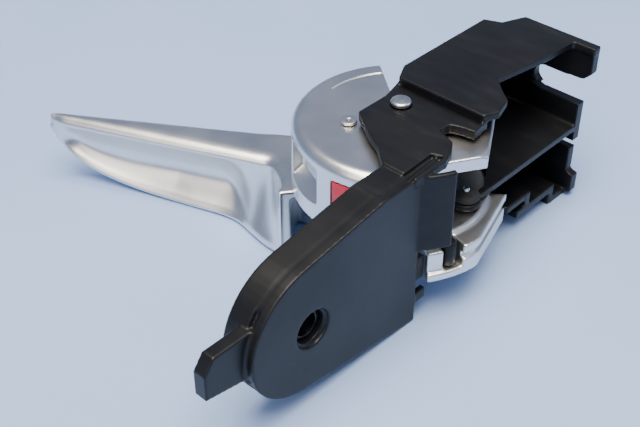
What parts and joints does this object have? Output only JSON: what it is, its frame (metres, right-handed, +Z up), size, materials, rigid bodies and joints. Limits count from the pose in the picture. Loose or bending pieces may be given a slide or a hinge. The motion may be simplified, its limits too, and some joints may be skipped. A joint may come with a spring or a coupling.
{
  "type": "car door handle",
  "caption": "Interior car door pull handle: black plastic bracket with a satin chrome lever and a chrome lock knob that turn on one upright pin.",
  "frame": {"origin": "under the middle of the whole handle's box, on its lowest plane", "axes": "+X from the fixing lug towards the cable end wall, -Y the side of the fixing lug's face, +Z up along the pivot pin"},
  "size_m": [0.1542, 0.1366, 0.0521],
  "materials": {
    "black_plastic": "satin, fine spark texture",
    "satin_chrome": "satin",
    "plated_steel": "satin",
    "red_mark": "gloss",
    "rubber": "matt",
    "nylon": "matt"
  },
  "bodies": {
    "bracket_body": {"bracket": "black_plastic", "closed_stop_pad": "rubber", "open_stop_pad": "rubber", "lever_bumper": "rubber", "bumper_rivet": "plated_steel", "lug_sleeve": "plated_steel", "pivot_pin": "plated_steel", "pin_retaining_clip": "plated_steel", "lever_friction_washer": "plated_steel", "knob_friction_washer": "plated_steel", "knob_washer": "nylon"},
    "lever_body": {"lever": "satin_chrome", "upper_lever_bush": "nylon", "lower_lever_bush": "nylon", "latch_cable_clip": "black_plastic"},
    "knob_body": {"lock_knob": "satin_chrome", "knob_bush": "nylon", "red_indicator": "red_mark", "knob_rivet": "satin_chrome", "lock_arm": "plated_steel", "lock_cable_clip": "black_plastic"}
  },
  "joints": [
    {"name": "lever_swing", "type": "hinge", "parent": "bracket_body", "child": "lever_body", "pos_m": [0.01605, -0.03647, 0.046], "axis": [0, 0, 1], "range_deg": [0, 50]},
    {"name": "knob_turn", "type": "hinge", "parent": "bracket_body", "child": "knob_body", "pos_m": [0.01605, -0.03647, 0.046], "axis": [0, 0, 1], "range_deg": [-35, 0]}
  ]
}
